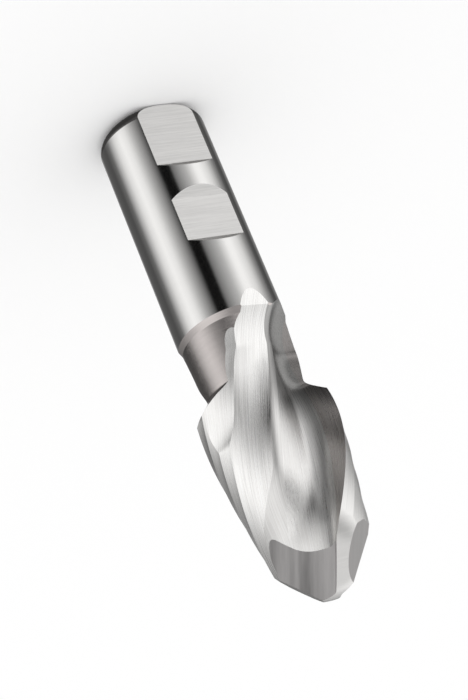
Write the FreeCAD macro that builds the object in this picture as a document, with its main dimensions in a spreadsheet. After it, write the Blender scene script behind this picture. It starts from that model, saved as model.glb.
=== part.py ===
"""Ball-nosed two-flute slot drill with a two-flat shank, ground from one bar.

The tool stands on its shank end: the origin is the middle of the end face, +Z runs
to the nose and the two clamping flats face -Y. Lengths are millimetres, angles degrees.

Every ground surface of the head follows the same right-hand helix. A section of the
tooth space is drawn in a frame that turns with the helix, its x axis pointing at the
cutting edge, so that a wheel's pass keeps its place in every section.
"""
import FreeCAD, Part
import math
import os
import Sketcher

os.makedirs("parts", exist_ok=True)
doc = FreeCAD.newDocument("slot_drill")

# Driving sizes: name, value, what it is
SIZES = [
    ("shank_diameter", 25.0, "ground shank"),
    ("shank_length", 56.0, "end face to the front chamfer"),
    ("end_rounding", 3.2, "radius round the shank's end"),
    ("flat_depth", 2.0, "clamping flats below the shank's surface"),
    ("flat_wall_angle", 45.0, "slope of the flats' end walls"),
    ("rear_flat_end", 16.4, "end of the rear flat, which is open to the end face"),
    ("front_flat_start", 26.0, "front flat, level part, from the end face"),
    ("front_flat_end", 36.9, "front flat, level part, from the end face"),
    ("front_chamfer_length", 1.5, "shank's front chamfer along the axis"),
    ("neck_back_diameter", 24.0, "neck behind, at the chamfer"),
    ("neck_front_diameter", 22.4, "neck at the shoulder"),
    ("neck_length", 17.7, "chamfer to the shoulder's corner, where the head begins"),
    ("neck_fillet", 1.5, "radius between neck and shoulder"),
    ("cut_diameter", 30.0, "head and ball nose"),
    ("cut_length", 45.8, "shoulder's corner to the nose tip"),
    ("shoulder_angle", 45.0, "back of the head against the axis"),
    ("helix_angle", 30.0, "right-hand helix at the cut diameter"),
    ("nose_phase", 27.0, "cutting edge at the nose level, from the flats' normal"),
    ("turn_stop", 10.7, "the turning motion ends this far behind the head"),
    ("rake_angle", 8.0, "rake face against the radius"),
    ("wall_depth", 8.99, "flute's far wall, below the cutting circle"),
    ("wall_angle", 25.0, "normal of the flute's far wall"),
    ("root_radius", 4.5, "between rake face and far wall"),
    ("crest_radius", 2.0, "between far wall and tooth back"),
    ("nose_change_start", 29.0, "the flute's far wall begins to turn this far behind the nose tip"),
    ("nose_change_length", 16.0, "length over which it turns"),
    ("nose_wall_depth", 10.07, "far wall below the cutting circle, at the nose"),
    ("nose_wall_angle", 50.0, "normal of the far wall, at the nose"),
    ("nose_crest_radius", 10.0, "between far wall and tooth back, at the nose"),
    ("narrow_start", 2.2, "the flute begins to narrow this far behind the head"),
    ("narrow_length", 8.5, "length over which it narrows"),
    ("narrow_width", 5.6, "how much narrower it gets on the rake side"),
    ("lift_start", 10.4, "the wheel begins to lift out of the flute this far behind the head"),
    ("lift_radius", 11.2, "run-out curve of the flute along the axis"),
    ("back_depth", 6.28, "tooth back below the cutting circle"),
    ("back_start", 6.2, "the tooth back begins to rise this far behind the head"),
    ("back_radius", 25.0, "run-out curve of the tooth back along the axis"),
    ("back_end", 22.9, "the tooth back leaves the shank this far behind the head"),
    ("back_slope", 0.14, "slope of the tooth back where it leaves the shank"),
    ("heel_depth", 3.05, "heel facet below the cutting circle"),
    ("heel_angle", 125.0, "heel facet's normal"),
    ("heel_sink", 0.9, "how much deeper the heel facet lies at the neck"),
    ("heel_start", 5.2, "the heel facet begins to rise this far behind the head"),
    ("heel_rise_radius", 60.0, "run-out curve of the heel facet towards the shank"),
    ("heel_stop", 1.9, "the sunk part ends this far ahead of the head's start"),
    ("heel_stop_radius", 23.4, "curve of the heel facet towards the nose"),
    ("relief_depth", 1.87, "second relief facet below the cutting circle"),
    ("relief_angle", 143.0, "second relief facet's normal"),
    ("land_angle", 18.2, "first relief against the tangent at the edge"),
    ("gash_slope", 42.5, "nose gash's run above the level plane"),
    ("gash_floor_angle", 59.7, "gash floor, below the line across the tool"),
    ("gash_wall_angle", 63.8, "gash's rake wall, above the line across the tool"),
    ("gash_offset", 0.86, "foot of the gash from the axis"),
    ("gash_rise", 0.4, "foot of the gash beyond the nose tip"),
    ("gash_radius", 1.0, "fillet between gash floor and rake wall"),
    ("nose_back_azimuth", 49.5, "facet behind the ball's land, round the axis from the flats"),
    ("nose_back_elevation", 40.0, "facet behind the ball's land, normal above level"),
    ("nose_back_depth", 2.7, "facet behind the ball's land, below the ball"),
]
value = {name: number for name, number, note in SIZES}

sheet = doc.addObject("Spreadsheet::Sheet", "sizes")
for row, (name, number, note) in enumerate(SIZES, start=1):
    sheet.set("A%d" % row, name)
    sheet.set("B%d" % row, str(number))
    sheet.set("C%d" % row, note)
    sheet.setAlias("B%d" % row, name)
doc.recompute()

# Places along the axis that follow from the sizes, as formulas
HEAD = "(<shank_length> + <front_chamfer_length> + <neck_length>)"
TIP = "(<shank_length> + <front_chamfer_length> + <neck_length> + <cut_length>)"
BEYOND = "(%s + 3)" % TIP
TURN = "tan(<helix_angle>) / (<cut_diameter> / 2) * 180 / pi"

# The same places as numbers, for the first drawing of each sketch
shank_r = value["shank_diameter"] / 2
head_r = value["cut_diameter"] / 2
neck_start = value["shank_length"] + value["front_chamfer_length"]
head_start = neck_start + value["neck_length"]
tip = head_start + value["cut_length"]

V = FreeCAD.Vector
SC = Sketcher.Constraint
UP = V(0, 0, 1)

body = doc.addObject("PartDesign::Body", "cutter_body")
body.Label = "cutter"


def origin_item(role):
    for item in body.Origin.OriginFeatures:
        if item.Role == role:
            return item


def formula(text):
    """Puts the sheet's name in front of every size used in a formula."""
    for name in value:
        text = text.replace("<%s>" % name, "sizes.%s" % name)
    return text


def new_sketch(label, plane):
    sketch = body.newObject("Sketcher::SketchObject", label)
    sketch.AttachmentSupport = [(origin_item(plane), "")]
    sketch.MapMode = "FlatFace"
    return sketch


def dimension(sketch, name, constraint, text):
    """Adds a named constraint that a formula of the sheet drives."""
    index = sketch.addConstraint(constraint)
    sketch.renameConstraint(index, name)
    sketch.setExpression("Constraints." + name, formula(text))


def solved(sketch):
    """Stops the script where a sketch has no solution."""
    doc.recompute()
    if sketch.solve() != 0:
        raise RuntimeError("sketch %s has no solution" % sketch.Label)
    return sketch


def cut_made(feature, volume_before):
    """Stops the script where a cut failed or took nothing away."""
    doc.recompute()
    volume = body.Shape.Volume
    if not feature.isValid() or volume > volume_before - 1:
        raise RuntimeError("%s took nothing away" % feature.Label)
    return feature


def meet(normal_a, distance_a, normal_b, distance_b):
    """Where two lines cross, each given by its outward normal and its distance from the axis."""
    cross = normal_a.x * normal_b.y - normal_a.y * normal_b.x
    return V((distance_a * normal_b.y - distance_b * normal_a.y) / cross,
             (distance_b * normal_a.x - distance_a * normal_b.x) / cross, 0)


def facing(angle):
    """Unit vector in the level plane."""
    return V(math.cos(math.radians(angle)), math.sin(math.radians(angle)), 0)


def turned_blank():
    """End, rounding, shank, chamfer, neck, shoulder, head and ball, turned as one profile.

    The profile stands a little to the side of the XZ plane, so that the line where the
    turned faces close runs clear of the clamping flats.
    """
    seam_azimuth = -22.5
    sketch = new_sketch("blank_outline", "XZ_Plane")
    sketch.AttachmentOffset = FreeCAD.Placement(V(0, 0, 0), FreeCAD.Rotation(V(0, 1, 0), seam_azimuth))
    rounding = value["end_rounding"]
    neck_back_r = value["neck_back_diameter"] / 2
    neck_front_r = value["neck_front_diameter"] / 2
    shoulder_length = (head_r - neck_front_r) / math.tan(math.radians(value["shoulder_angle"]))
    diagonal = math.sin(math.radians(45))
    corners = [
        V(0, 0, 0), V(shank_r - rounding, 0, 0), V(shank_r, rounding, 0),
        V(shank_r, value["shank_length"], 0), V(neck_back_r, neck_start, 0),
        V(neck_front_r, head_start - shoulder_length, 0), V(head_r, head_start, 0),
        V(head_r, tip - head_r, 0), V(0, tip, 0),
    ]
    middles = {
        "rounding": V(shank_r - rounding, rounding, 0) + V(diagonal, -diagonal, 0) * rounding,
        "ball": V(0, tip - head_r, 0) + V(diagonal, diagonal, 0) * head_r,
    }
    names = ["end", "rounding", "shank", "chamfer", "neck", "shoulder", "head", "ball", "axis"]
    edge = {name: i for i, name in enumerate(names)}
    for i, name in enumerate(names):
        start, stop = corners[i], corners[(i + 1) % len(corners)]
        if name in middles:
            sketch.addGeometry(Part.Arc(start, middles[name], stop), False)
        else:
            sketch.addGeometry(Part.LineSegment(start, stop), False)
    for i, name in enumerate(names):
        kind = "Tangent" if name in ("end", "rounding", "head") else "Coincident"
        sketch.addConstraint(SC(kind, i, 2, (i + 1) % len(names), 1))
    sketch.addConstraint([
        SC("Coincident", edge["end"], 1, -1, 1),
        SC("Horizontal", edge["end"]),
        SC("Vertical", edge["shank"]),
        SC("Vertical", edge["head"]),
        SC("Vertical", edge["axis"]),
        SC("PointOnObject", edge["ball"], 3, -2),
    ])
    dimension(sketch, "rounding", SC("Radius", edge["rounding"], rounding), "<end_rounding>")
    dimension(sketch, "shank_r", SC("DistanceX", -1, 1, edge["shank"], 1, shank_r), "<shank_diameter> / 2")
    dimension(sketch, "shank_z", SC("DistanceY", -1, 1, edge["shank"], 2, corners[3].y), "<shank_length>")
    dimension(sketch, "neck_z", SC("DistanceY", edge["chamfer"], 1, edge["chamfer"], 2, 1.5),
              "<front_chamfer_length>")
    dimension(sketch, "neck_back", SC("DistanceX", -1, 1, edge["chamfer"], 2, neck_back_r),
              "<neck_back_diameter> / 2")
    dimension(sketch, "neck_front", SC("DistanceX", -1, 1, edge["neck"], 2, neck_front_r),
              "<neck_front_diameter> / 2")
    dimension(sketch, "shoulder", SC("DistanceY", edge["shoulder"], 1, edge["shoulder"], 2, shoulder_length),
              "(<cut_diameter> - <neck_front_diameter>) / 2 / tan(<shoulder_angle>)")
    dimension(sketch, "head_r", SC("DistanceX", -1, 1, edge["head"], 1, head_r), "<cut_diameter> / 2")
    dimension(sketch, "head_z", SC("DistanceY", -1, 1, edge["head"], 1, head_start), HEAD)
    dimension(sketch, "tip", SC("DistanceY", -1, 1, edge["ball"], 2, tip), TIP)
    solved(sketch)
    turned = body.newObject("PartDesign::Revolution", "turned_blank")
    turned.Profile = sketch
    turned.ReferenceAxis = (sketch, ["V_Axis"])
    turned.Angle = 360
    doc.recompute()
    fillet = body.newObject("PartDesign::Fillet", "neck_fillet")
    fillet.Base = (turned, [circle_edge(turned.Shape, neck_front_r, head_start - shoulder_length)])
    fillet.setExpression("Radius", formula("<neck_fillet>"))
    doc.recompute()


def circle_edge(shape, radius, height):
    """Name of the round edge of this radius at this height."""
    for index, item in enumerate(shape.Edges, start=1):
        if item.Degenerated or not isinstance(item.Curve, Part.Circle):
            continue
        if abs(item.Curve.Radius - radius) < 1e-3 and abs(item.Curve.Center.z - height) < 1e-3:
            return "Edge%d" % index
    raise RuntimeError("no round edge of radius %.2f at height %.2f" % (radius, height))


def flat_outline(sketch, name, start, end, start_wall, first):
    """A level floor with a sloping wall at its nose end, and at its start too if asked."""
    clearance = 4.0
    level = shank_r - value["flat_depth"]
    outside = shank_r + clearance
    rise = (outside - level) * math.tan(math.radians(value["flat_wall_angle"]))
    back = rise if start_wall else 0
    corners = [
        V(-level, start, 0), V(-level, end, 0), V(-outside, end + rise, 0), V(-outside, start - back, 0),
    ]
    wall_rise = "(<flat_depth> + %g) * tan(<flat_wall_angle>)" % clearance
    for i in range(4):
        sketch.addGeometry(Part.LineSegment(corners[i], corners[(i + 1) % 4]), False)
    for i in range(4):
        sketch.addConstraint(SC("Coincident", first + i, 2, first + (i + 1) % 4, 1))
    sketch.addConstraint([SC("Vertical", first), SC("Vertical", first + 2)])
    dimension(sketch, name + "_level", SC("DistanceX", first, 1, -1, 1, level),
              "<shank_diameter> / 2 - <flat_depth>")
    dimension(sketch, name + "_reach", SC("DistanceX", first + 2, 1, -1, 1, outside),
              "<shank_diameter> / 2 + %g" % clearance)
    dimension(sketch, name + "_end", SC("DistanceY", -1, 1, first, 2, end), "<%s_end>" % name)
    dimension(sketch, name + "_wall", SC("DistanceY", first + 1, 1, first + 1, 2, rise), wall_rise)
    if start_wall:
        dimension(sketch, name + "_start", SC("DistanceY", -1, 1, first, 1, start), "<%s_start>" % name)
        dimension(sketch, name + "_back", SC("DistanceY", first + 3, 1, first + 3, 2, rise), wall_rise)
    else:
        sketch.addConstraint(SC("Horizontal", first + 3))
        dimension(sketch, name + "_open", SC("DistanceY", first, 1, -1, 1, -start), "<end_rounding>")


def clamping_flats():
    sketch = new_sketch("flat_outlines", "YZ_Plane")
    flat_outline(sketch, "rear_flat", -value["end_rounding"], value["rear_flat_end"], False, 0)
    flat_outline(sketch, "front_flat", value["front_flat_start"], value["front_flat_end"], True, 4)
    solved(sketch)
    before = body.Shape.Volume
    cut = body.newObject("PartDesign::Pocket", "clamping_flats")
    cut.Profile = sketch
    cut.Type = 1
    cut.Midplane = True
    return cut_made(cut, before)


def heights(start, stop, count):
    """Formulas of evenly spaced heights from one formula up to, but without, another."""
    return ["(%s + (%s - %s) * %d / %d)" % (start, stop, start, i, count) for i in range(count)]


def section_formulas(z):
    """What changes along the tool, at the height that the formula z gives."""
    behind = "max(0; %s - <%%s> - %s)" % (HEAD, z)
    lift = "(%s ^ 2 / 2 / <lift_radius>)" % (behind % "lift_start")
    part = "min(1; %s / <narrow_length>)" % (behind % "narrow_start")
    back_curve = "%s ^ 2 / 2 / <back_radius>" % (behind % "back_start")
    back_line = ("<shank_diameter> / 2 - <cut_diameter> / 2 + <back_depth>"
                 " + <back_slope> * (%s - <back_end> - %s) + %s / 4" % (HEAD, z, behind % "back_end"))
    heel_rise = "%s ^ 2 / 2 / <heel_rise_radius>" % (behind % "heel_start")
    heel_stop = "max(0; %s - %s - <heel_stop>) ^ 2 / 2 / <heel_stop_radius>" % (z, HEAD)
    nose = "min(1; max(0; %s - %s + <nose_change_start>) / <nose_change_length>)" % (z, TIP)
    nose = "(%s ^ 2 * (3 - 2 * %s))" % (nose, nose)
    return {
        "wall": "<cut_diameter> / 2 - <wall_depth> - (<nose_wall_depth> - <wall_depth>) * %s + %s"
                % (nose, lift),
        "wall_angle": "<wall_angle> + (<nose_wall_angle> - <wall_angle>) * %s" % nose,
        "narrowing": "<narrow_width> * %s ^ 2 * (3 - 2 * %s) + %s * sin(<wall_angle> - <rake_angle>)"
                     % (part, part, lift),
        "crest": "<crest_radius> + (<nose_crest_radius> - <crest_radius>) * %s" % nose,
        "back": "<cut_diameter> / 2 - <back_depth> + max(0; min(%s; %s))" % (back_curve, back_line),
        "heel": "min(<shank_diameter> / 2 + 0.5; <cut_diameter> / 2 - <heel_depth> - <heel_sink> + %s"
                " + min(<heel_sink>; %s))" % (heel_rise, heel_stop),
    }


def section(label, z):
    """All that is ground away from one cutting edge round to the next, at one height.

    The outline runs along rake face, root, far wall, crest, tooth back, heel, second
    relief and land, and closes outside the tool.
    """
    sketch = new_sketch(label, "XY_Plane")
    along = section_formulas(z)
    now = {name: sketch.evalExpression(formula(text)) for name, text in along.items()}
    root_r = value["root_radius"]
    crest_r = now["crest"]
    rake_turn = math.radians(value["rake_angle"])
    wall_turn = math.radians(now["wall_angle"])
    left = -1.2 * head_r
    right = 1.5 * head_r
    top = 1.6 * head_r
    rake = (facing(90 + value["rake_angle"]), -head_r * math.sin(rake_turn))
    wall = (facing(now["wall_angle"]), now["wall"])
    back = (facing(90), now["back"])
    heel = (facing(value["heel_angle"]), now["heel"])
    relief = (facing(value["relief_angle"]), head_r - value["relief_depth"])
    land = (facing(180 - value["land_angle"]), head_r * math.cos(math.radians(value["land_angle"])))
    root = meet(wall[0], wall[1] + root_r, rake[0], rake[1] + root_r)
    crest = meet(wall[0], wall[1] - crest_r, back[0], back[1] - crest_r)
    rake_end = meet(*rake, facing(0), right)
    corners = [
        meet(*back, *heel), meet(*heel, *relief), meet(*relief, *land), meet(*land, facing(0), left),
        V(left, top, 0), V(right, top, 0), rake_end,
    ]
    sketch.addGeometry([
        Part.LineSegment(rake_end, root - rake[0] * root_r),
        Part.ArcOfCircle(Part.Circle(root, UP, root_r), math.pi + wall_turn, 1.5 * math.pi + rake_turn),
        Part.LineSegment(root - wall[0] * root_r, crest + wall[0] * crest_r),
        Part.ArcOfCircle(Part.Circle(crest, UP, crest_r), wall_turn, math.pi / 2),
        Part.LineSegment(crest + back[0] * crest_r, corners[0]),
    ], False)
    for start, stop in zip(corners, corners[1:]):
        sketch.addGeometry(Part.LineSegment(start, stop), False)
    sketch.addGeometry(Part.Point(V(head_r, 0, 0)), True)
    sketch.addConstraint([
        SC("Tangent", 0, 2, 1, 2),
        SC("Tangent", 1, 1, 2, 1),
        SC("Tangent", 2, 2, 3, 1),
        SC("Tangent", 3, 2, 4, 1),
        SC("Horizontal", 4),
        SC("Vertical", 8),
        SC("Horizontal", 9),
        SC("Vertical", 10),
        SC("PointOnObject", 11, 1, 0),
    ])
    for i in range(4, 11):
        sketch.addConstraint(SC("Coincident", i, 2, (i + 1) % 11, 1))
    dimension(sketch, "edge", SC("DistanceX", -1, 1, 11, 1, head_r), "<cut_diameter> / 2")
    dimension(sketch, "narrowing", SC("DistanceY", -1, 1, 11, 1, 0), along["narrowing"])
    dimension(sketch, "rake", SC("Angle", 0, math.pi + rake_turn), "180 + <rake_angle>")
    dimension(sketch, "root", SC("Radius", 1, root_r), "<root_radius>")
    dimension(sketch, "wall_line", SC("Distance", -1, 1, 2, wall[1]), along["wall"])
    dimension(sketch, "wall", SC("Angle", 2, math.pi / 2 + wall_turn), "90 + " + along["wall_angle"])
    dimension(sketch, "crest", SC("Radius", 3, crest_r), along["crest"])
    dimension(sketch, "back_line", SC("DistanceY", -1, 1, 4, 2, back[1]), along["back"])
    dimension(sketch, "heel_line", SC("Distance", -1, 1, 5, heel[1]), along["heel"])
    dimension(sketch, "heel", SC("Angle", 5, math.radians(90 + value["heel_angle"])), "90 + <heel_angle>")
    dimension(sketch, "relief_line", SC("Distance", -1, 1, 6, relief[1]),
              "<cut_diameter> / 2 - <relief_depth>")
    dimension(sketch, "relief", SC("Angle", 6, math.radians(90 + value["relief_angle"])),
              "90 + <relief_angle>")
    dimension(sketch, "land_line", SC("Distance", -1, 1, 7, land[1]),
              "<cut_diameter> / 2 * cos(<land_angle>) - 0.03")
    dimension(sketch, "land", SC("Angle", 7, math.radians(270 - value["land_angle"])), "270 - <land_angle>")
    dimension(sketch, "left", SC("DistanceX", 8, 1, -1, 1, -left), "0.6 * <cut_diameter>")
    dimension(sketch, "top", SC("DistanceY", -1, 1, 9, 1, top), "0.8 * <cut_diameter>")
    dimension(sketch, "right", SC("DistanceX", -1, 1, 10, 1, right), "0.75 * <cut_diameter>")
    spin = "-90 + <nose_phase> - %s * (%s - max(%s; %s - <turn_stop>))" % (TURN, TIP, z, HEAD)
    sketch.AttachmentOffset = FreeCAD.Placement(UP, FreeCAD.Rotation(UP, 10))
    sketch.setExpression(".AttachmentOffset.Base.z", formula(z))
    sketch.setExpression(".AttachmentOffset.Rotation.Angle", formula(spin))
    return solved(sketch)


def tooth_space():
    """The space between two cutting edges, with its run-outs into neck and shank."""
    back_end = "(%s - <back_end>)" % HEAD
    lift_start = "(%s - <lift_start>)" % HEAD
    narrow_start = "(%s - <narrow_start>)" % HEAD
    rows = ["(%s - 2.5)" % back_end]
    rows += heights(back_end, lift_start, 8)
    rows += heights(lift_start, narrow_start, 3)
    rows += heights(narrow_start, BEYOND, 10) + [BEYOND]
    sections = [section("section_%02d" % i, z) for i, z in enumerate(rows)]
    before = body.Shape.Volume
    cut = body.newObject("PartDesign::SubtractiveLoft", "tooth_space")
    cut.Profile = (sections[0], [""])
    cut.Sections = [(sketch, [""]) for sketch in sections[1:]]
    cut.Ruled = False
    return cut_made(cut, before)


def nose_gash():
    """The gash that brings each edge to the middle of the nose: floor, rake wall, small fillet."""
    sketch = new_sketch("gash_profile", "XZ_Plane")
    sketch.AttachmentOffset = FreeCAD.Placement(V(0, 0, 0), FreeCAD.Rotation(V(1, 0, 0), 45))
    sketch.setExpression(".AttachmentOffset.Rotation.Angle", formula("<gash_slope>"))
    slope = math.radians(value["gash_slope"])
    floor = math.radians(value["gash_floor_angle"])
    wall = math.radians(value["gash_wall_angle"])
    radius = value["gash_radius"]
    side = 2 * head_r
    foot = V(value["gash_offset"], tip * math.cos(slope) + value["gash_rise"], 0)
    floor_end = V(side, foot.y - (side - foot.x) * math.tan(floor), 0)
    wall_end = V(side, foot.y + (side - foot.x) * math.tan(wall), 0)
    middle = (wall - floor) / 2
    centre = foot + V(math.cos(middle), math.sin(middle), 0) * (radius / math.sin((floor + wall) / 2))
    floor_touch = centre + V(-math.sin(floor), -math.cos(floor), 0) * radius
    wall_touch = centre + V(-math.sin(wall), math.cos(wall), 0) * radius
    sketch.addGeometry([
        Part.LineSegment(floor_touch, floor_end),
        Part.LineSegment(floor_end, wall_end),
        Part.LineSegment(wall_end, wall_touch),
        Part.ArcOfCircle(Part.Circle(centre, UP, radius), math.pi / 2 + wall, 1.5 * math.pi - floor),
    ], False)
    sketch.addGeometry(Part.Point(foot), True)
    sketch.addConstraint([
        SC("Coincident", 0, 2, 1, 1),
        SC("Coincident", 1, 2, 2, 1),
        SC("Tangent", 2, 2, 3, 1),
        SC("Tangent", 3, 2, 0, 1),
        SC("Vertical", 1),
        SC("PointOnObject", 4, 1, 0),
        SC("PointOnObject", 4, 1, 2),
    ])
    dimension(sketch, "offset", SC("DistanceX", -1, 1, 4, 1, foot.x), "<gash_offset>")
    dimension(sketch, "rise", SC("DistanceY", -1, 1, 4, 1, foot.y),
              "%s * cos(<gash_slope>) + <gash_rise>" % TIP)
    dimension(sketch, "side", SC("DistanceX", -1, 1, 0, 2, side), "<cut_diameter>")
    dimension(sketch, "floor", SC("Angle", 0, -floor), "-<gash_floor_angle>")
    dimension(sketch, "wall", SC("Angle", 2, math.pi + wall), "180 + <gash_wall_angle>")
    dimension(sketch, "root", SC("Radius", 3, radius), "<gash_radius>")
    solved(sketch)
    before = body.Shape.Volume
    cut = body.newObject("PartDesign::Pocket", "nose_gash")
    cut.Profile = sketch
    cut.Type = 1
    cut.Midplane = True
    return cut_made(cut, before)


def nose_back():
    """The flat facet behind the land on the ball: a plane tilted towards the nose."""
    sketch = new_sketch("nose_back_profile", "XY_Plane")
    sketch.AttachmentOffset = FreeCAD.Placement(V(0, 0, 100), FreeCAD.Rotation(-135, 50, 0))
    sketch.addGeometry(Part.Circle(V(0, 0, 0), UP, 2 * head_r), False)
    sketch.addConstraint(SC("Coincident", 0, 3, -1, 1))
    dimension(sketch, "reach", SC("Radius", 0, 2 * head_r), "<cut_diameter>")
    azimuth = "(-90 - <nose_back_azimuth>)"
    distance = "(<cut_diameter> / 2 - <nose_back_depth>)"
    level = "%s * cos(<nose_back_elevation>)" % distance
    height = "%s - <cut_diameter> / 2 + %s * sin(<nose_back_elevation>)" % (TIP, distance)
    sketch.setExpression(".AttachmentOffset.Base.x", formula("%s * cos(%s)" % (level, azimuth)))
    sketch.setExpression(".AttachmentOffset.Base.y", formula("%s * sin(%s)" % (level, azimuth)))
    sketch.setExpression(".AttachmentOffset.Base.z", formula(height))
    sketch.setExpression(".AttachmentOffset.Rotation.Yaw", formula(azimuth))
    sketch.setExpression(".AttachmentOffset.Rotation.Pitch", formula("90 - <nose_back_elevation>"))
    solved(sketch)
    before = body.Shape.Volume
    cut = body.newObject("PartDesign::Pocket", "nose_back")
    cut.Profile = sketch
    cut.setExpression("Length", formula("<cut_diameter>"))
    cut.Reversed = True
    return cut_made(cut, before)


turned_blank()
clamping_flats()
one_tooth = [tooth_space(), nose_gash(), nose_back()]
volume_before_pattern = body.Shape.Volume
pattern = body.newObject("PartDesign::PolarPattern", "two_teeth")
pattern.Originals = one_tooth
pattern.Axis = (origin_item("Z_Axis"), [""])
pattern.Angle = 360
pattern.Occurrences = 2
body.Tip = pattern
cut_made(pattern, volume_before_pattern)

for item in doc.Objects:
    if "Invalid" in item.State or "Error" in item.State:
        raise RuntimeError("%s is not valid" % item.Label)
if body.Shape.isNull() or not body.Shape.isValid() or len(body.Shape.Solids) != 1:
    raise RuntimeError("the cutter is not one valid solid")
body.Shape.exportStep("parts/%s.step" % body.Label)
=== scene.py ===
"""Studio picture of a ball-nosed slot drill, ground from one bar of high-speed steel.

The solid model is the frame. In its place the picture shows a finer copy of the same
ground form, with smooth helical faces and the grinding lines that each wheel leaves.
"""

import math

import bmesh
import bpy
from mathutils import Matrix, Vector


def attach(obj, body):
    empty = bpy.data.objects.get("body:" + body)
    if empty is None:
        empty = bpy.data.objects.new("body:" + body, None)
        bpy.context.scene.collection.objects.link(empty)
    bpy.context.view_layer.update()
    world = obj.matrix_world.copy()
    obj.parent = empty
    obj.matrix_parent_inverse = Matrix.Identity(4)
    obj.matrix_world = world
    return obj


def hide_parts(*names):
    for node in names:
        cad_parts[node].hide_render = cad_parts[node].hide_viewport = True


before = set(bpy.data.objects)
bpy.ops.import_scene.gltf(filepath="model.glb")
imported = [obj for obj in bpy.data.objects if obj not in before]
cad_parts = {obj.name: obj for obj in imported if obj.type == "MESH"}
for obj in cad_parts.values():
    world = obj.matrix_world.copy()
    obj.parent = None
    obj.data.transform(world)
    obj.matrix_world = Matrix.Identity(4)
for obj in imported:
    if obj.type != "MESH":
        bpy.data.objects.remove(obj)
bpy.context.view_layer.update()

MM = 0.001

# Sizes of the ground form, the same as in the solid: millimetres above the shank's end
# face or from the axis, and degrees
SHANK_R = 12.5
SHANK_LENGTH = 56.0
END_ROUNDING = 3.2
FLAT_LEVEL = 10.5
REAR_FLAT_END = 16.4
FRONT_FLAT = (26.0, 36.9)
NECK_START = 57.5
NECK_BACK_R = 12.0
NECK_FRONT_R = 11.2
NECK_FILLET = 1.5
SHOULDER_ANGLE = 45.0
HEAD_START = 75.2
HEAD_R = 15.0
LENGTH = 121.0

# Helix in degrees and in radians per millimetre, direction of the cutting edge at the
# nose, and the height below which the run-outs go straight down
HELIX_ANGLE = 30.0
HELIX_RATE = math.tan(math.radians(HELIX_ANGLE)) / HEAD_R
NOSE_PHASE = 27.0
TURN_STOP = 64.5

# Flute: rake face, far wall and the crest between far wall and tooth back
RAKE_ANGLE = 8.0
WALL_ANGLE = 25.0
WALL_DEPTH = 8.99
ROOT_R = 4.5
CREST_R = 2.0

# Towards the nose the far wall turns and its crest gets rounder
NOSE_CHANGE_START = 92.0
NOSE_CHANGE_LENGTH = 16.0
NOSE_WALL_DEPTH = 10.07
NOSE_WALL_ANGLE = 50.0
NOSE_CREST_R = 10.0

# Towards the shank the flute narrows from the rake side and its wheel lifts out
NARROW_START = 73.0
NARROW_LENGTH = 8.5
NARROW_WIDTH = 5.6
LIFT_START = 64.8
LIFT_R = 11.2

# Tooth back, which rises on a curve and leaves the shank as a tongue
BACK_DEPTH = 6.28
BACK_START = 69.0
BACK_R = 25.0
BACK_END = 52.3
BACK_SLOPE = 0.14
BACK_EXIT_SLOPE = 0.25

# Heel facet, sunk near the neck, second relief, and land, which starts just inside the
# cutting circle
HEEL_DEPTH = 3.05
HEEL_ANGLE = 125.0
HEEL_SINK = 0.9
HEEL_START = 70.0
HEEL_RISE_R = 60.0
HEEL_STOP = 77.1
HEEL_STOP_R = 23.4
RELIEF_DEPTH = 1.87
RELIEF_ANGLE = 143.0
LAND_ANGLE = 18.2
LAND_SINK = 0.03

# Gash on each side of the nose, and the flat facet behind each land on the ball
GASH_SLOPE = 42.5
GASH_FLOOR = 59.7
GASH_WALL = 63.8
GASH_OFFSET = 0.86
GASH_RISE = 0.4
GASH_R = 1.0
NOSE_BACK_AZIMUTH = 49.5
NOSE_BACK_ELEVATION = 40.0
NOSE_BACK_DEPTH = 2.7

# Reach of the cutters outside the steel, and of a tooth space below and above its ends
OUTSIDE = 24.0
HEEL_CLEAR = 0.5
SPACE_SIDES = (-18.0, 22.5)
SPACE_BELOW = 2.5
SPACE_ABOVE = 3.0

# Fineness: height between two sections of a tooth space, steps round the blank, and the
# angle on the ball before which its rings give way to one fan of triangles
SPACE_STEP = 0.5
ROUND_STEPS = 240
BALL_TOP = 88.0

# Shading breaks where faces meet at more than these angles: beside a plane, which is a
# face larger than so many square millimetres, at a seam of two surfaces, and elsewhere
PLANE_AREA = 15.0
PLANE_LIMIT = 1.0
SEAM_LIMIT = 5.0
TURN_LIMIT = 14.5


def grey(level):
    return (level, level, level, 1)


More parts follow.
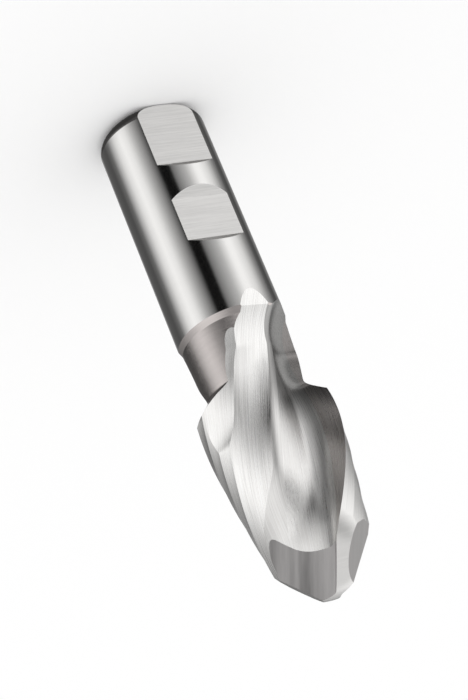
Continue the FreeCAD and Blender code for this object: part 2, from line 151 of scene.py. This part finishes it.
class Nodes:
    """Short hand for building a node tree."""

    def __init__(self, tree):
        self.tree = tree

    def add(self, kind, inputs=(), **settings):
        node = self.tree.nodes.new(kind)
        for name, setting in settings.items():
            setattr(node, name, setting)
        for key, source in dict(inputs).items():
            if isinstance(source, bpy.types.NodeSocket):
                self.tree.links.new(source, node.inputs[key])
            else:
                node.inputs[key].default_value = source
        return node

    def math(self, operation, a, b=0.0):
        return self.add("ShaderNodeMath", {0: a, 1: b}, operation=operation).outputs[0]

    def vector(self, operation, a, b=(0, 0, 0)):
        return self.add("ShaderNodeVectorMath", {0: a, 1: b}, operation=operation).outputs[0]

    def scale(self, a, factor):
        return self.add("ShaderNodeVectorMath", {0: a, "Scale": factor}, operation="SCALE").outputs[0]

    def noise(self, place, detail, roughness=0.5):
        inputs = {"Vector": place, "Scale": 1.0, "Detail": detail, "Roughness": roughness}
        return self.add("ShaderNodeTexNoise", inputs).outputs["Fac"]

    def change(self, source, low, high, first=0.0, last=1.0):
        """first where the source is below low, last where it is above high, smooth between."""
        inputs = {"Value": source, 1: low, 2: high, 3: first, 4: last}
        return self.add("ShaderNodeMapRange", inputs, interpolation_type="SMOOTHSTEP").outputs[0]

    def blend(self, factor, a, b):
        """Colour a where the factor is 0 and b where it is 1."""
        return self.add("ShaderNodeMix", {0: factor, 6: a, 7: b}, data_type="RGBA").outputs[2]

    def ramp(self, factor, stops):
        """Greys round a full turn, each stop with its place in degrees from -180 to 180."""
        node = self.add("ShaderNodeValToRGB", {"Fac": factor})
        ramp = node.color_ramp
        while len(ramp.elements) < len(stops):
            ramp.elements.new(0.5)
        for element, (degrees, level) in zip(ramp.elements, stops):
            element.position = 0.5 + degrees / 360
            element.color = grey(level)
        return node.outputs["Color"]


# Directions of grinding lines, as shares of the grain's scale on each axis: a small share
# makes long lines that way. The axes of "helix" and "fan" turn with the flutes, and lines
# of "fan" are the same at every distance from the axis.
STRETCH = {
    "helix": (1, 1, 0.02),
    "fan": (1, 1, 0.02),
    "round": (0.03, 0.03, 1),
    "across": (0.03, 1, 1),
    "run": (1, 0.03, 0.03),
}

# Detail and roughness of the noise in the lines, depth of their grooves in metres, scale
# and detail of the wide patches, and what both do to colour and roughness
LINE_NOISE = (4.0, 0.7)
GROOVE_DEPTH = 0.00005
PATCH_SCALE = 0.12
PATCH_DETAIL = 2.0
TONE_ON_COLOR = 0.5
TONE_ON_ROUGHNESS = 0.6

# Heights in millimetres between which the steel goes from painted shade to its full colour, where
# the wheels run out beside the neck
RUN_OUT_SHADE = (73.0, 84.0)


def place_along(n, z, along):
    """The place on the tool, turned so that its axes follow lines of this direction."""
    place = n.add("ShaderNodeTexCoord").outputs["Object"]
    if along == "fan":
        level = n.vector("NORMALIZE", n.vector("MULTIPLY", place, (1, 1, 0)))
        upright = n.add("ShaderNodeCombineXYZ", {"Z": z}).outputs[0]
        place = n.vector("ADD", n.scale(level, SHANK_R * MM), upright)
    if along in ("helix", "fan"):
        inputs = {"Vector": place, "Angle": n.math("MULTIPLY", z, -HELIX_RATE / MM)}
        place = n.add("ShaderNodeVectorRotate", inputs, rotation_type="Z_AXIS").outputs[0]
    return place


def ground_steel(name, color, roughness, along, grain, depth, tone=0.35, patches=0.2, shade_share=1.0):
    """Bright steel with grinding lines, which run along one of the directions of STRETCH.

    The grain is per metre. Where the wheels run out beside the neck the colour falls to
    the given share: painted shade low in the flutes.
    """
    material = bpy.data.materials.new(name)
    material.use_nodes = True
    tree = material.node_tree
    shader = tree.nodes["Principled BSDF"]
    n = Nodes(tree)
    place = n.add("ShaderNodeTexCoord").outputs["Object"]
    z = n.add("ShaderNodeSeparateXYZ", {0: place}).outputs["Z"]
    stretch = tuple(share * grain for share in STRETCH[along])
    fine = n.vector("MULTIPLY", place_along(n, z, along), stretch)
    lines = n.noise(fine, *LINE_NOISE)
    wide = n.noise(n.scale(fine, PATCH_SCALE), PATCH_DETAIL)
    line_tone = n.math("MULTIPLY", n.math("SUBTRACT", lines, 0.5), tone)
    patch_tone = n.math("MULTIPLY", n.math("SUBTRACT", wide, 0.5), patches)
    both = n.math("ADD", line_tone, patch_tone)
    level = n.math("ADD", 1.0, n.math("MULTIPLY", both, TONE_ON_COLOR))
    # Painted shade: the colour falls towards the neck, where the flutes run out
    run_out_shade = n.change(z, RUN_OUT_SHADE[0] * MM, RUN_OUT_SHADE[1] * MM, shade_share, 1.0)
    tint = n.scale(color, n.math("MULTIPLY", level, run_out_shade))
    tree.links.new(tint, shader.inputs["Base Color"])
    rough = n.math("ADD", roughness, n.math("MULTIPLY", both, roughness * TONE_ON_ROUGHNESS))
    tree.links.new(rough, shader.inputs["Roughness"])
    shader.inputs["Metallic"].default_value = 1.0
    bump = n.add("ShaderNodeBump", {"Strength": depth, "Distance": GROOVE_DEPTH, "Height": lines})
    tree.links.new(bump.outputs[0], shader.inputs["Normal"])
    return material


# Colours of the steel
# Painted highlight: a lighter copy of the steel for the tooth backs and heels
STEEL_HIGHLIGHT = (0.90, 0.89, 0.875)
STEEL = (0.84, 0.83, 0.815)
# Painted shade: a darker, warmer copy of the steel for the rake faces, which mirror dark parts of the
# studio
RAKE_SHADE = (0.76, 0.72, 0.70)
# Painted shade: a much darker copy of the steel for the end and its rounding
END_SHADE = (0.30, 0.292, 0.285)
# Painted shade: a darker, browner copy of the steel for the neck
NECK_SHADE = (0.56, 0.52, 0.505)
# Painted shade: a darker copy of the steel for the gashes, besides their real rougher grind
GASH_SHADE = (0.54, 0.525, 0.52)
# Painted shade: a much darker copy of the steel for the facets behind the lands on the ball
FACET_SHADE = (0.36, 0.35, 0.345)

# Grain per metre
FINE = 9000
GROUND = 3500
COARSE = 2500

# One steel for each surface: name, colour, roughness, direction of the lines, their grain
# and depth, and what differs from the usual tone, patches and painted run-out shade
MATERIALS = {
    "end": ground_steel("end_turned_shaded", END_SHADE, 0.24, "round", FINE, 0.25),
    "shank": ground_steel("shank_polished", STEEL, 0.11, "round", FINE, 0.10, tone=0.2, patches=0.0),
    "neck": ground_steel("neck_turned_shaded", NECK_SHADE, 0.13, "round", FINE, 0.25),
    "head": ground_steel("head_ground", STEEL, 0.22, "round", FINE, 0.2),
    "flat": ground_steel("flat_ground", STEEL, 0.34, "across", GROUND, 0.6, tone=1.0, patches=0.32),
    "rake": ground_steel("rake_ground", RAKE_SHADE, 0.28, "helix", GROUND, 0.4, tone=1.6, shade_share=0.35),
    "root": ground_steel("root_ground", STEEL, 0.30, "helix", GROUND, 0.5, tone=1.6, shade_share=0.3),
    "crest": ground_steel("crest_ground", STEEL, 0.40, "fan", GROUND, 0.6, tone=2.0, shade_share=0.5),
    "back": ground_steel("back_ground", STEEL_HIGHLIGHT, 0.27, "fan", GROUND, 0.6, tone=2.0),
    "heel": ground_steel("heel_ground", STEEL_HIGHLIGHT, 0.27, "fan", GROUND, 0.4, tone=1.2),
    "land": ground_steel("land_ground", STEEL, 0.22, "helix", GROUND, 0.3, tone=0.6),
    "gash": ground_steel("gash_matt_shaded", GASH_SHADE, 0.42, "run", COARSE, 0.4, tone=0.8, patches=3.6),
    "facet": ground_steel("facet_ground", FACET_SHADE, 0.40, "run", COARSE, 0.4, tone=0.8, patches=0.6),
}
SURFACES = list(MATERIALS)


def polar(angle, radius=1.0):
    """A point in the level plane, angle in degrees."""
    return Vector((math.cos(math.radians(angle)), math.sin(math.radians(angle)))) * radius


def meet(a, b):
    """Where two lines cross, each a pair of its normal's angle and its distance from the axis."""
    normal_a, normal_b = polar(a[0]), polar(b[0])
    cross = normal_a.x * normal_b.y - normal_a.y * normal_b.x
    x = (a[1] * normal_b.y - b[1] * normal_a.y) / cross
    y = (b[1] * normal_a.x - a[1] * normal_b.x) / cross
    return Vector((x, y))


def between(a, b, count):
    """Points from a towards b, without b."""
    return [a.lerp(b, i / count) for i in range(count)]


def arc(centre, radius, start, end, count):
    """Points on an arc from one angle towards another, without the last."""
    return [centre + polar(start + (end - start) * i / count, radius) for i in range(count)]


def mesh_object(name, points, faces, surfaces):
    """An object in millimetres turned to metres, every face with the material of its surface."""
    mesh = bpy.data.meshes.new(name)
    mesh.from_pydata([Vector(p) * MM for p in points], [], faces)
    for surface in SURFACES:
        mesh.materials.append(MATERIALS[surface])
    mesh.polygons.foreach_set("material_index", [SURFACES.index(s) for s in surfaces])
    mesh.validate()
    obj = bpy.data.objects.new(name, mesh)
    bpy.context.scene.collection.objects.link(obj)
    return obj


def ring_faces(below, above, count):
    """The faces between two rings of points, each ring given by the number of its first point."""
    faces = []
    for i in range(count):
        j = (i + 1) % count
        faces.append((below + i, below + j, above + j, above + i))
    return faces


def loft(name, rings, labels, cap):
    """Joins closed rings of equal length. labels names the surface of each side strip."""
    count = len(rings[0])
    points = [p for ring in rings for p in ring]
    last = (len(rings) - 1) * count
    faces, surfaces = [], []
    for below in range(0, last, count):
        faces += ring_faces(below, below + count, count)
        surfaces += labels
    faces.append(tuple(range(count - 1, -1, -1)))
    faces.append(tuple(range(last, last + count)))
    return mesh_object(name, points, faces, surfaces + [cap, cap])


def blank_path():
    """Half outline of the turned blank from the end face to the nose: point and surface."""
    shoulder_turn = math.radians(SHOULDER_ANGLE)
    shoulder = HEAD_START - (HEAD_R - NECK_FRONT_R) / math.tan(shoulder_turn)
    slope = math.atan2(NECK_BACK_R - NECK_FRONT_R, shoulder - NECK_START)
    neck_reach = NECK_BACK_R * math.cos(slope) + NECK_START * math.sin(slope)
    cone_reach = NECK_FRONT_R * math.cos(shoulder_turn) - shoulder * math.sin(shoulder_turn)
    neck_offset = (math.degrees(slope), neck_reach + NECK_FILLET)
    cone_offset = (-SHOULDER_ANGLE, cone_reach + NECK_FILLET)
    fillet = meet(neck_offset, cone_offset)
    fillet_start = 180 + math.degrees(slope)
    fillet_end = 180 - SHOULDER_ANGLE
    rounding = Vector((SHANK_R - END_ROUNDING, END_ROUNDING))
    shank_start = Vector((SHANK_R, END_ROUNDING))
    shank_end = Vector((SHANK_R, SHANK_LENGTH))
    head_start = Vector((HEAD_R, HEAD_START))
    ball_start = Vector((HEAD_R, LENGTH - HEAD_R))
    ball = Vector((0, LENGTH - HEAD_R))
    stretches = [
        (arc(rounding, END_ROUNDING, -90, 0, 14), "end"),
        (between(shank_start, shank_end, 12), "shank"),
        ([shank_end, Vector((NECK_BACK_R, NECK_START))], "neck"),
        (arc(fillet, NECK_FILLET, fillet_start, fillet_end, 10), "neck"),
        ([fillet + polar(fillet_end, NECK_FILLET)], "head"),
        (between(head_start, ball_start, 10), "head"),
        (arc(ball, HEAD_R, 0, BALL_TOP, 40), "head"),
    ]
    return [(p, label) for points, label in stretches for p in points]


def blank():
    """The turned blank: rounded end, shank, chamfer, neck, shoulder, head and ball."""
    path = blank_path()
    count = ROUND_STEPS
    points = [(0, 0, 0)]
    for p, label in path:
        points += [(*polar(360 * i / count, p.x), p.y) for i in range(count)]
    points.append((0, 0, LENGTH))
    tip = len(points) - 1
    last = tip - count
    faces = [(0, 1 + (i + 1) % count, 1 + i) for i in range(count)]
    surfaces = ["end"] * count
    for row, (p, label) in enumerate(path[:-1]):
        below = 1 + row * count
        faces += ring_faces(below, below + count, count)
        surfaces += [label] * count
    faces += [(last + i, last + (i + 1) % count, tip) for i in range(count)]
    surfaces += ["head"] * count
    return mesh_object("cutter_ground", points, faces, surfaces)


def ease(share):
    """Goes from 0 to 1 with the share, with a soft start and a soft end."""
    share = min(1, max(0, share))
    return share * share * (3 - 2 * share)


def lifted(distance, radius):
    """How far a wheel has lifted after this distance of a run-out with this radius."""
    return max(0, distance) ** 2 / 2 / radius


def section(height):
    """Outline of one tooth space at a height, in the frame that turns with the helix, and its labels.

    Each line of the outline is a pair, the angle of its normal and its distance from the axis.
    """
    lift = lifted(LIFT_START - height, LIFT_R)
    rake_turn = math.radians(RAKE_ANGLE)
    narrowing = NARROW_WIDTH * ease((NARROW_START - height) / NARROW_LENGTH)
    narrowing += lift * math.sin(math.radians(WALL_ANGLE - RAKE_ANGLE))
    nose = ease((height - NOSE_CHANGE_START) / NOSE_CHANGE_LENGTH)
    wall_angle = WALL_ANGLE + (NOSE_WALL_ANGLE - WALL_ANGLE) * nose
    wall_depth = WALL_DEPTH + (NOSE_WALL_DEPTH - WALL_DEPTH) * nose
    crest_r = CREST_R + (NOSE_CREST_R - CREST_R) * nose
    back_curve = lifted(BACK_START - height, BACK_R)
    back_line = SHANK_R - HEAD_R + BACK_DEPTH + BACK_SLOPE * (BACK_END - height)
    back_line += BACK_EXIT_SLOPE * max(0, BACK_END - height)
    sunk = HEEL_SINK - min(HEEL_SINK, lifted(height - HEEL_STOP, HEEL_STOP_R))
    heel_reach = HEAD_R - HEEL_DEPTH - sunk + lifted(HEEL_START - height, HEEL_RISE_R)

    rake = (90 + RAKE_ANGLE, narrowing * math.cos(rake_turn) - HEAD_R * math.sin(rake_turn))
    wall = (wall_angle, HEAD_R - wall_depth + lift)
    back = (90, HEAD_R - BACK_DEPTH + max(0, min(back_curve, back_line)))
    heel = (HEEL_ANGLE, min(SHANK_R + HEEL_CLEAR, heel_reach))
    relief = (RELIEF_ANGLE, HEAD_R - RELIEF_DEPTH)
    land = (180 - LAND_ANGLE, HEAD_R * math.cos(math.radians(LAND_ANGLE)) - LAND_SINK)
    root = meet((wall[0], wall[1] + ROOT_R), (rake[0], rake[1] + ROOT_R))
    crest = meet((wall[0], wall[1] - crest_r), (back[0], back[1] - crest_r))

    left, right = SPACE_SIDES
    rake_top = meet(rake, (0, right))
    rake_foot = root + polar(RAKE_ANGLE - 90, ROOT_R)
    wall_foot = root - polar(wall_angle, ROOT_R)
    wall_top = crest + polar(wall_angle, crest_r)
    back_start = crest + polar(90, crest_r)
    heel_start = meet(back, heel)
    relief_start = meet(heel, relief)
    land_start = meet(relief, land)
    land_end = meet(land, (0, left))
    strips = [
        (between(rake_top, rake_foot, 14), "rake"),
        (arc(root, ROOT_R, RAKE_ANGLE + 270, wall_angle + 180, 16), "root"),
        (between(wall_foot, wall_top, 8), "root"),
        (arc(crest, crest_r, wall_angle, 90, 12), "crest"),
        (between(back_start, heel_start, 14), "back"),
        (between(heel_start, relief_start, 8), "heel"),
        (between(relief_start, land_start, 5), "land"),
        (between(land_start, land_end, 8), "land"),
        ([land_end, Vector((left, OUTSIDE)), Vector((right, OUTSIDE))], "head"),
    ]
    points = [p for strip, label in strips for p in strip]
    labels = [label for strip, label in strips for p in strip]
    return points, labels


def tooth_space(turn):
    """All that is ground away between two cutting edges, as a closed twisted bar."""
    low = BACK_END - SPACE_BELOW
    high = LENGTH + SPACE_ABOVE
    rings = []
    for i in range(int((high - low) / SPACE_STEP) + 1):
        height = low + i * SPACE_STEP
        points, labels = section(height)
        below_tip = LENGTH - max(height, TURN_STOP)
        angle = turn - 90 + NOSE_PHASE - math.degrees(HELIX_RATE) * below_tip
        spin = Matrix.Rotation(math.radians(angle), 2)
        rings.append([(*(spin @ p), height) for p in points])
    return loft("tooth_space", rings, labels, "head")


def bar(name, outline, surface, axes, near, far):
    """A prism: an outline in the first two of three axes, drawn out along the third."""
    across, up, along = (Vector(a) for a in axes)
    rings = [[across * p[0] + up * p[1] + along * reach for p in outline] for reach in (near, far)]
    return loft(name, rings, [surface] * len(outline), surface)


def flat(low, high, low_wall):
    """Cutter for one clamping flat: level floor and 45 degree end walls.

    low_wall is 1, or 0 where the low end is open.
    """
    slant = OUTSIDE - FLAT_LEVEL
    outline = [
        (-FLAT_LEVEL, low),
        (-FLAT_LEVEL, high),
        (-OUTSIDE, high + slant),
        (-OUTSIDE, low - slant * low_wall),
    ]
    return bar("flat", outline, "flat", ((0, 1, 0), (0, 0, 1), (1, 0, 0)), -OUTSIDE, OUTSIDE)


def gash(turn):
    """Cutter for the gash that brings the edge to the middle of the nose."""
    slope = math.radians(GASH_SLOPE)
    spin = Matrix.Rotation(math.radians(turn), 3, "Z")
    across = spin @ Vector((1, 0, 0))
    up = spin @ Vector((0, -math.sin(slope), math.cos(slope)))
    run = spin @ Vector((0, math.cos(slope), math.sin(slope)))
    foot = Vector((GASH_OFFSET, LENGTH * math.cos(slope) + GASH_RISE))
    half = math.radians(GASH_FLOOR + GASH_WALL) / 2
    centre = foot + polar((GASH_WALL - GASH_FLOOR) / 2, GASH_R / math.sin(half))
    reach = 4 * HEAD_R
    floor_start = 270 - GASH_FLOOR
    outline = [foot + polar(-GASH_FLOOR, reach), foot + polar(GASH_WALL, reach)]
    outline += arc(centre, GASH_R, 90 + GASH_WALL, floor_start, 10)
    outline += [centre + polar(floor_start, GASH_R)]
    return bar("gash", outline, "gash", (across, up, run), -4 * OUTSIDE, 8 * OUTSIDE)


def nose_back(turn):
    """Cutter for the flat facet behind the land on the ball."""
    azimuth = math.radians(turn - 90 - NOSE_BACK_AZIMUTH)
    tilt = math.radians(NOSE_BACK_ELEVATION)
    level = math.cos(tilt)
    normal = Vector((level * math.cos(azimuth), level * math.sin(azimuth), math.sin(tilt)))
    side = normal.cross(Vector((0, 0, 1))).normalized()
    up = side.cross(normal)
    middle = Vector((0, 0, LENGTH - HEAD_R))
    near = HEAD_R - NOSE_BACK_DEPTH
    half = 2 * HEAD_R
    corners = [(-half, -half), (half, -half), (half, half), (-half, half)]
    rings = []
    for reach in (near, near + OUTSIDE):
        rings.append([middle + side * a + up * b + normal * reach for a, b in corners])
    return loft("nose_back", rings, ["facet"] * len(corners), "facet")


def outward(obj):
    """Turns all faces of a closed mesh outward."""
    work = bmesh.new()
    work.from_mesh(obj.data)
    bmesh.ops.recalc_face_normals(work, faces=work.faces)
    work.to_mesh(obj.data)
    work.free()


def cut(obj, taken):
    """Takes one body away from the object for good."""
    outward(taken)
    modifier = obj.modifiers.new(taken.name, "BOOLEAN")
    modifier.operation = "DIFFERENCE"
    modifier.solver = "MANIFOLD"
    modifier.object = taken
    graph = bpy.context.evaluated_depsgraph_get()
    result = bpy.data.meshes.new_from_object(obj.evaluated_get(graph))
    obj.modifiers.clear()
    old = obj.data
    obj.data = result
    bpy.data.meshes.remove(old)
    bpy.data.objects.remove(taken)


def crisp(obj):
    """Smooth shading, broken where two surfaces meet, where one turns sharply and round a plane."""
    work = bmesh.new()
    work.from_mesh(obj.data)
    for face in work.faces:
        face.smooth = True
    for edge in work.edges:
        plane = any(face.calc_area() > PLANE_AREA * MM * MM for face in edge.link_faces)
        seam = len({face.material_index for face in edge.link_faces}) > 1
        limit = TURN_LIMIT
        if plane:
            limit = PLANE_LIMIT
        elif seam:
            limit = SEAM_LIMIT
        edge.smooth = edge.calc_face_angle(0) < math.radians(limit)
    work.to_mesh(obj.data)
    work.free()


cutter = blank()
outward(cutter)
cut(cutter, flat(-OUTSIDE, REAR_FLAT_END, 0))
cut(cutter, flat(*FRONT_FLAT, 1))
for turn in (0, 180):
    cut(cutter, tooth_space(turn))
    cut(cutter, gash(turn))
    cut(cutter, nose_back(turn))
crisp(cutter)
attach(cutter, "root")
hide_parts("cutter")


FLOOR_HALF = 6.0


def white_floor():
    """A wide matt floor in metres, which the metal doesn't mirror."""
    mesh = bpy.data.meshes.new("floor")
    half = FLOOR_HALF
    corners = [(-half, -half, 0), (half, -half, 0), (half, half, 0), (-half, half, 0)]
    mesh.from_pydata(corners, [], [(0, 1, 2, 3)])
    material = bpy.data.materials.new("floor_white")
    material.use_nodes = True
    shader = material.node_tree.nodes["Principled BSDF"]
    shader.inputs["Base Color"].default_value = grey(1)
    shader.inputs["Roughness"].default_value = 1.0
    shader.inputs["Specular IOR Level"].default_value = 0.0
    mesh.materials.append(material)
    obj = bpy.data.objects.new("floor", mesh)
    bpy.context.scene.collection.objects.link(obj)
    obj.visible_glossy = False
    return obj


floor = white_floor()

# The studio that the metal mirrors, as brightness by direction: two wide soft boxes with a
# grey gap between them and a dim room behind. Places are degrees of azimuth from a dark
# bar, whose own azimuth is BAR.
BAR = -62.0

# Band of the studio that the upright shank mirrors
SHANK_BAND = [
    # Light behind, first half
    (-176, 0.62), (-168, 0.30),
    # Dark room
    (-140, 0.07), (-128, 0.10),
    # First soft box, brightest at its middle
    (-112, 0.32), (-92, 0.80), (-72, 1.06), (-62, 1.02), (-42, 0.52), (-16, 0.18),
    # Dark bar
    (-11, 0.004), (8, 0.004),
    # Second soft box
    (16, 0.16), (32, 0.47), (50, 0.93), (64, 1.06), (80, 0.84), (104, 0.16),
    # Dark room
    (120, 0.08), (152, 0.11),
    # Light behind, second half
    (164, 0.30), (176, 0.62),
]

# Soft boxes above that band. They lean, by this share of a turn over a height of 1
LEAN = 0.25
SOFT_BOXES = [
    # First soft box
    (-158, 0.50), (-122, 1.00), (-108, 1.10), (-63, 1.12),
    # Grey gap
    (-20, 0.46), (2, 0.44),
    # Second soft box
    (37, 1.08), (62, 1.14),
    # Dim room
    (100, 0.36), (122, 0.24), (167, 0.30),
]

# Below the band: light that spills under the first soft box, and the dark on both sides
LOW_LIGHT = [
    (-118, 0.13), (-60, 0.42), (-38, 0.62), (-18, 0.58), (2, 0.42), (22, 0.20), (42, 0.12),
]
UNDERSIDE = 0.10
OVERHEAD = 0.72

# Heights of a direction, -1 down to 1 up, between which each layer takes over from the
# one below it
LOW_LIGHT_RISE = (-0.86, -0.74)
SHANK_BAND_RISE = (-0.64, -0.58)
SOFT_BOXES_RISE = (-0.38, -0.30)
OVERHEAD_RISE = (0.45, 0.76)


def studio_world():
    """White for the camera and for diffuse light, the studio for what the metal mirrors."""
    world = bpy.data.worlds.new("studio")
    bpy.context.scene.world = world
    world.use_nodes = True
    world.node_tree.nodes.clear()
    n = Nodes(world.node_tree)
    way = n.add("ShaderNodeTexCoord").outputs["Generated"]
    parts = n.add("ShaderNodeSeparateXYZ", {0: way}).outputs
    azimuth = n.math("ARCTAN2", parts["Y"], parts["X"])
    turned = n.math("ADD", n.math("DIVIDE", azimuth, 2 * math.pi), 0.5 - BAR / 360)
    upright = n.math("FRACT", turned)
    leaning = n.math("FRACT", n.math("ADD", turned, n.math("MULTIPLY", parts["Z"], LEAN)))
    layers = [
        (LOW_LIGHT_RISE, n.ramp(upright, LOW_LIGHT)),
        (SHANK_BAND_RISE, n.ramp(upright, SHANK_BAND)),
        (SOFT_BOXES_RISE, n.ramp(leaning, SOFT_BOXES)),
        (OVERHEAD_RISE, grey(OVERHEAD)),
    ]
    seen = grey(UNDERSIDE)
    for (low, high), light in layers:
        seen = n.blend(n.change(parts["Z"], low, high), seen, light)
    rays = n.add("ShaderNodeLightPath").outputs
    plain = n.add("ShaderNodeBackground", {"Color": grey(1), "Strength": 1.0}).outputs[0]
    studio = n.add("ShaderNodeBackground", {"Color": seen, "Strength": 1.0}).outputs[0]
    mix = n.add("ShaderNodeMixShader", {0: rays["Is Glossy Ray"], 1: plain, 2: studio}).outputs[0]
    n.add("ShaderNodeOutputWorld", {"Surface": mix})


studio_world()

# The photograph's camera: place and nearest distance in metres, direction of view and roll
# in degrees, sensor in millimetres, focal length in pixels of a frame of this height
CAMERA_PLACE = Vector((0.21867, -0.41074, 0.28669))
VIEW_AZIMUTH = 117.917
VIEW_ELEVATION = -26.0
VIEW_ROLL = 157.667
FOCAL_PIXELS = 2366.8
FRAME_HEIGHT = 700
SENSOR_HEIGHT = 36.0
NEAREST = 0.01


def photo_camera():
    """The camera that sees the tool as the photograph does, nose down."""
    data = bpy.data.cameras.new("camera")
    data.sensor_fit = "VERTICAL"
    data.sensor_height = SENSOR_HEIGHT
    data.lens = SENSOR_HEIGHT * FOCAL_PIXELS / FRAME_HEIGHT
    data.clip_start = NEAREST
    obj = bpy.data.objects.new("camera", data)
    bpy.context.scene.collection.objects.link(obj)
    turned = Matrix.Rotation(math.radians(VIEW_AZIMUTH - 90), 4, "Z")
    raised = Matrix.Rotation(math.radians(VIEW_ELEVATION + 90), 4, "X")
    rolled = Matrix.Rotation(math.radians(VIEW_ROLL), 4, "Z")
    obj.matrix_world = Matrix.Translation(CAMERA_PLACE) @ turned @ raised @ rolled
    return obj


bpy.context.scene.camera = photo_camera()
bpy.context.scene.view_settings.view_transform = "Standard"
